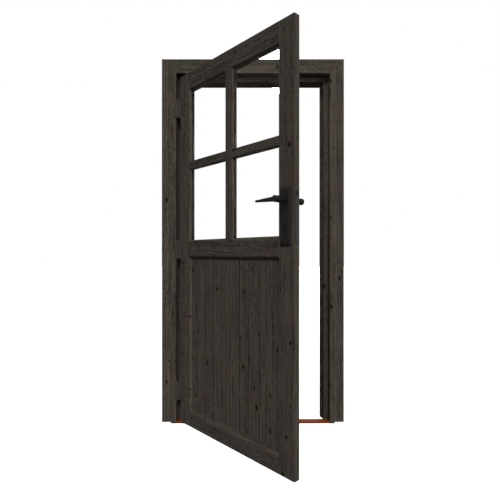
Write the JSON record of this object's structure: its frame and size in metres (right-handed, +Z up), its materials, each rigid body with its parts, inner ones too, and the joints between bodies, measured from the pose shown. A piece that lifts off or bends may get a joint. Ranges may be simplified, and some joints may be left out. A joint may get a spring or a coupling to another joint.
{
  "type": "half-glazed wooden door with frame",
  "caption": "Framed timber door leaf, glazed above and boarded below, with lever handles and a mortise lock, on butt hinges in a rebated frame with casing.",
  "frame": {"origin": "middle of the underside of the threshold, between the two jambs", "axes": "+X from the hinge side to the lock side, +Y into the building, +Z up"},
  "size_m": [0.984, 0.7575, 1.974],
  "materials": {
    "stained_pine": "dark stain, open grain",
    "threshold_wood": "oiled hardwood",
    "black_iron": "satin black",
    "brown_paint": "brown paint",
    "lock_steel": "burnished",
    "lock_brass": "dull",
    "clear_glass": "clear"
  },
  "bodies": {
    "frame": {"hinge_jamb": "stained_pine", "lock_jamb": "stained_pine", "head_jamb": "stained_pine", "threshold": "threshold_wood", "casing_hinge_side": "stained_pine", "casing_lock_side": "stained_pine", "casing_head": "stained_pine", "strike_plate": "lock_steel", "strike_screws": "lock_steel", "jamb_flap_bottom": "brown_paint", "jamb_flap_middle": "brown_paint", "jamb_flap_top": "brown_paint", "jamb_flap_screws": "brown_paint", "hinge_pin_bottom": "brown_paint", "hinge_pin_middle": "brown_paint", "hinge_pin_top": "brown_paint"},
    "leaf": {"hinge_stile": "stained_pine", "lock_stile": "stained_pine", "top_rail": "stained_pine", "middle_rail": "stained_pine", "bottom_rail": "stained_pine", "glazing_bar_upright": "stained_pine", "glazing_bar_left": "stained_pine", "glazing_bar_right": "stained_pine", "pane_lower_left": "clear_glass", "pane_lower_right": "clear_glass", "pane_upper_left": "clear_glass", "pane_upper_right": "clear_glass", "beads_lower_left": "stained_pine", "beads_lower_right": "stained_pine", "beads_upper_left": "stained_pine", "beads_upper_right": "stained_pine", "panel_board_1": "stained_pine", "panel_board_2": "stained_pine", "panel_board_3": "stained_pine", "panel_board_4": "stained_pine", "panel_board_5": "stained_pine", "leaf_flap_bottom": "brown_paint", "leaf_flap_middle": "brown_paint", "leaf_flap_top": "brown_paint", "leaf_flap_screws": "brown_paint", "lock_case": "lock_steel", "lock_forend": "brown_paint", "forend_screws": "brown_paint", "backplate_outer": "black_iron", "backplate_inner": "black_iron", "backplate_bolts": "black_iron", "cylinder_body": "lock_brass"},
    "handle": {"lever_outer": "black_iron", "lever_inner": "black_iron", "spindle": "lock_steel", "lock_follower": "lock_steel"},
    "latch": {"latch_bolt": "lock_steel"},
    "deadbolt": {"deadbolt": "lock_steel"},
    "key": {"cylinder_plug": "lock_brass", "cylinder_cam": "lock_steel"}
  },
  "joints": [
    {"name": "door_swing", "type": "hinge", "parent": "frame", "child": "leaf", "pos_m": [-0.4125, -0.038, 0.9465], "axis": [0, 0, -1], "range_deg": [-48, 122]},
    {"name": "lever_turn", "type": "hinge", "parent": "leaf", "child": "handle", "pos_m": [0.1371, -0.58936, 1.139], "axis": [-0.7431, -0.6691, 0], "range_deg": [0, 40], "stiffness_Nm_per_rad": 2, "springref_deg": -22.92},
    {"name": "latch_slide", "type": "slide", "parent": "leaf", "child": "latch", "axis": [-0.6691, 0.7431, 0], "range_m": [0, 0.012]},
    {"name": "key_turn", "type": "hinge", "parent": "leaf", "child": "key", "pos_m": [0.1371, -0.58936, 1.029], "axis": [-0.7431, -0.6691, 0], "range_deg": [0, 360]},
    {"name": "bolt_slide", "type": "slide", "parent": "leaf", "child": "deadbolt", "axis": [0.6691, -0.7431, 0], "range_m": [0, 0.014]}
  ],
  "couplings": [
    {"joint": "latch_slide", "follows": "lever_turn", "m_per_rad": 0.01718},
    {"joint": "key_turn", "follows": "bolt_slide", "rad_per_m": 448.79}
  ]
}
